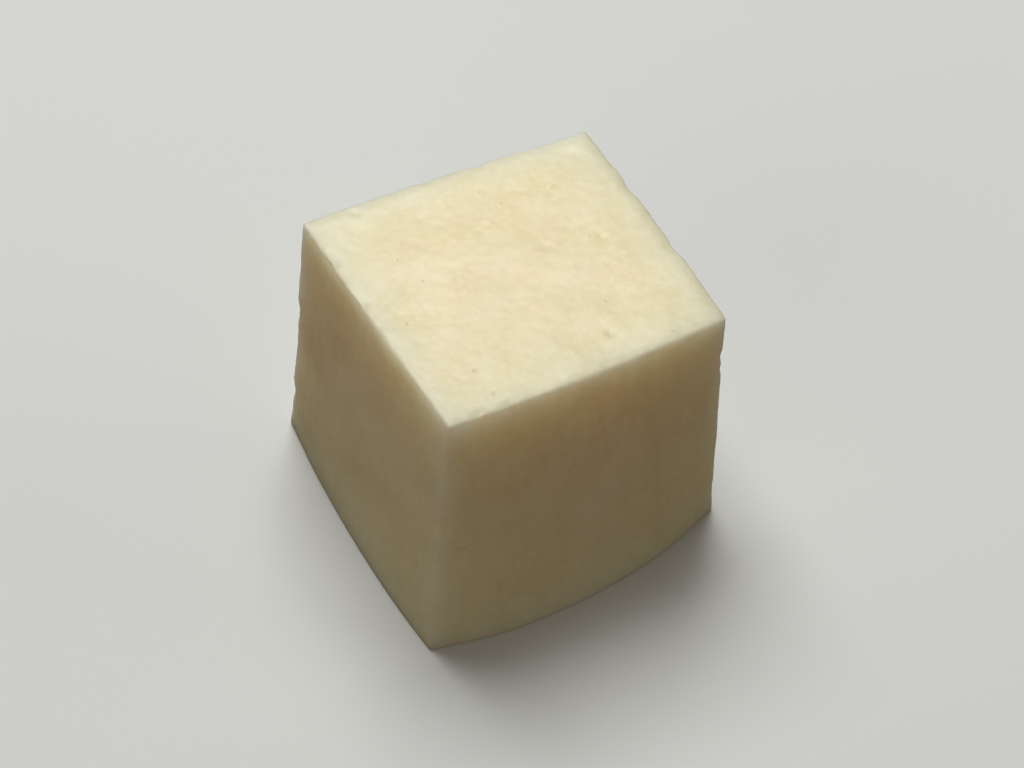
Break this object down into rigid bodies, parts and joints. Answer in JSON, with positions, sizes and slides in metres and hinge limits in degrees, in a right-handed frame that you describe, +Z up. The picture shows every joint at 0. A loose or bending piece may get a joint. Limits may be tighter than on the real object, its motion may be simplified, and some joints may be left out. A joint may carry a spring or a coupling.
{
  "type": "tofu block",
  "caption": "Hand-cut block of soft tofu with lightly rounded edges, a clean square top and sides that slump outwards to a wider, flat foot.",
  "frame": {"origin": "middle of the footprint, on the flat resting face", "axes": "+Z up, square to the resting face; -Y towards the front side, which swells most at its foot; +X to the right"},
  "size_m": [0.0268, 0.0268, 0.0212],
  "materials": {
    "tofu": "moist satin"
  },
  "bodies": {
    "root": {"tofu_block": "tofu"}
  },
  "joints": []
}
